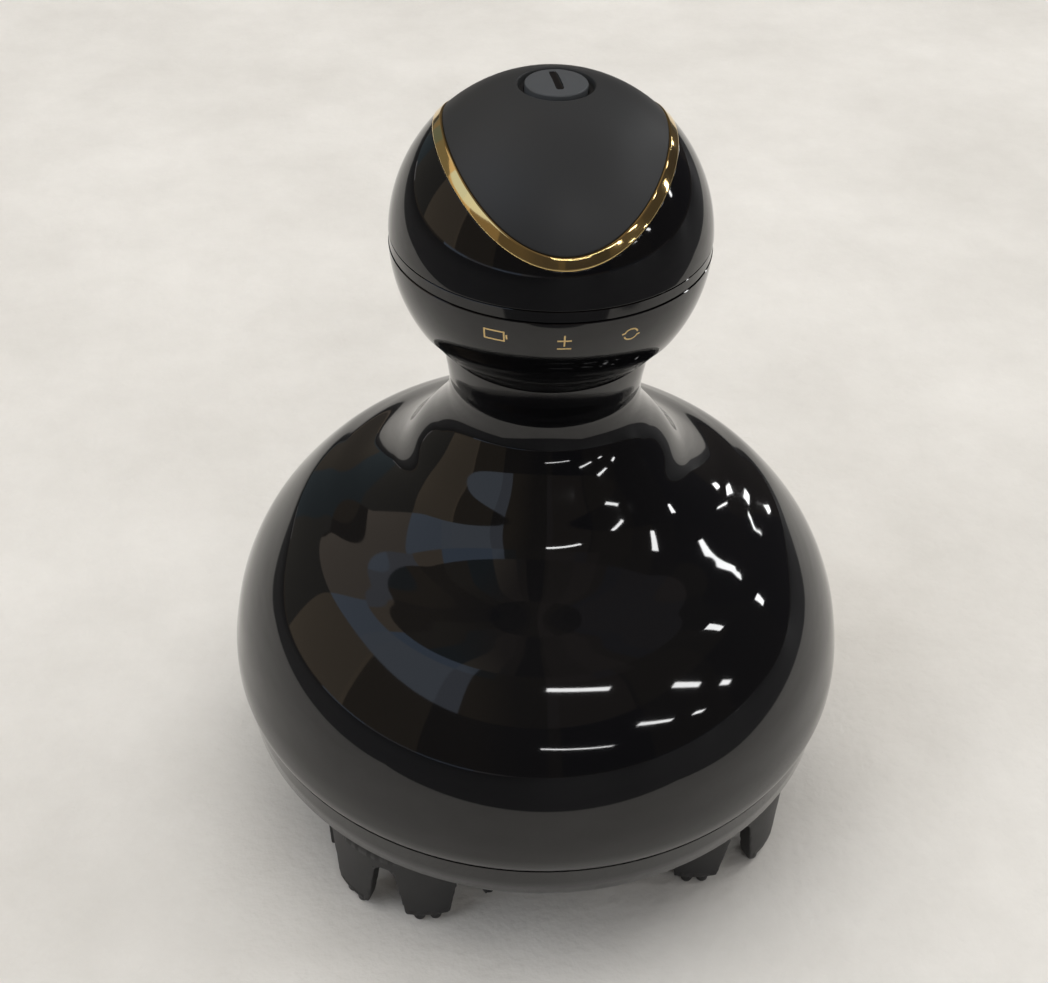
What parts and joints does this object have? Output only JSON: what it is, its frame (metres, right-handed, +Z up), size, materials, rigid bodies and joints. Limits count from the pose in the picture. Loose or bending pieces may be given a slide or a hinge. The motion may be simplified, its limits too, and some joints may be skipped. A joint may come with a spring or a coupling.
{
  "type": "electric scalp massager",
  "caption": "Cordless scalp massager with a domed gloss body, a waisted ball grip with a soft cap and power button, and claw heads that one gear train turns together.",
  "frame": {"origin": "centre of the body, on the surface that the fingertips stand on", "axes": "+Z up along the body's axis to the power button, -Y towards the front, +X to the right seen from the front"},
  "size_m": [0.1152, 0.1152, 0.1436],
  "materials": {
    "gloss_shell": "piano-black gloss",
    "gold_trim": "polished gold plating",
    "soft_touch": "matte soft-touch coating",
    "seal_rubber": "matte rubber",
    "switch_plastic": "matte moulded plastic",
    "circuit_board": "solder-mask lacquer",
    "inner_frame": "moulded plastic",
    "cell_wrap": "shrink wrap",
    "motor_steel": "plated steel can",
    "pinion_brass": "machined",
    "gear_plastic": "moulded acetal",
    "bright_steel": "ground",
    "hub_plastic": "moulded",
    "claw_silicone": "matte silicone"
  },
  "bodies": {
    "housing": {"dome_shell": "gloss_shell", "base_shell": "gloss_shell", "body_seal": "seal_rubber", "collar": "gloss_shell", "grip_lower_shell": "gloss_shell", "grip_band": "gloss_shell", "grip_upper_shell": "gloss_shell", "trim_ring": "gold_trim", "soft_cap": "soft_touch", "button_gasket": "seal_rubber", "tact_switch": "switch_plastic", "switch_board": "circuit_board", "battery_cradle": "inner_frame", "battery_cell": "cell_wrap", "main_board": "circuit_board", "board_chips": "switch_plastic", "gear_deck": "inner_frame", "motor_can": "motor_steel", "reduction_axle": "bright_steel", "spindle_bushes": "pinion_brass", "spindle_seals": "seal_rubber", "case_screws": "bright_steel", "deck_screws": "bright_steel", "charging_pad": "gloss_shell", "charging_contacts": "gold_trim"},
    "button": {"power_button": "soft_touch"},
    "rotor": {"motor_pinion": "pinion_brass"},
    "reduction": {"reduction_gear": "gear_plastic"},
    "head_drive_1": {"spindle_1": "bright_steel", "output_gear_1": "gear_plastic", "head_hub_1": "hub_plastic", "claw_head_1": "claw_silicone"},
    "head_drive_2": {"spindle_2": "bright_steel", "output_gear_2": "gear_plastic", "head_hub_2": "hub_plastic", "claw_head_2": "claw_silicone"},
    "head_drive_3": {"spindle_3": "bright_steel", "output_gear_3": "gear_plastic", "head_hub_3": "hub_plastic", "claw_head_3": "claw_silicone"},
    "head_drive_4": {"spindle_4": "bright_steel", "output_gear_4": "gear_plastic", "head_hub_4": "hub_plastic", "claw_head_4": "claw_silicone"}
  },
  "joints": [
    {"name": "head_1_spin", "type": "hinge", "parent": "housing", "child": "head_drive_1", "pos_m": [0.02293, 0.02852, 0.024], "axis": [0, 0, 1], "continuous": true},
    {"name": "head_2_spin", "type": "hinge", "parent": "housing", "child": "head_drive_2", "pos_m": [-0.02852, 0.02293, 0.024], "axis": [0, 0, 1], "continuous": true},
    {"name": "head_3_spin", "type": "hinge", "parent": "housing", "child": "head_drive_3", "pos_m": [-0.02293, -0.02852, 0.024], "axis": [0, 0, 1], "continuous": true},
    {"name": "head_4_spin", "type": "hinge", "parent": "housing", "child": "head_drive_4", "pos_m": [0.02852, -0.02293, 0.024], "axis": [0, 0, 1], "continuous": true},
    {"name": "reduction_spin", "type": "hinge", "parent": "housing", "child": "reduction", "pos_m": [0, 0, 0.034], "axis": [0, 0, 1], "continuous": true},
    {"name": "motor_spin", "type": "hinge", "parent": "housing", "child": "rotor", "pos_m": [0.00201, -0.01849, 0.037], "axis": [0, 0, 1], "continuous": true},
    {"name": "power_press", "type": "slide", "parent": "housing", "child": "button", "axis": [0, 0, -1], "range_m": [0, 0.0006], "stiffness_N_per_m": 1500, "springref_m": -0.0004}
  ],
  "couplings": [
    {"joint": "head_2_spin", "follows": "head_1_spin", "ratio": 1},
    {"joint": "head_3_spin", "follows": "head_1_spin", "ratio": 1},
    {"joint": "head_4_spin", "follows": "head_1_spin", "ratio": 1},
    {"joint": "reduction_spin", "follows": "head_1_spin", "ratio": -0.66667},
    {"joint": "motor_spin", "follows": "head_1_spin", "ratio": 2.7778}
  ]
}
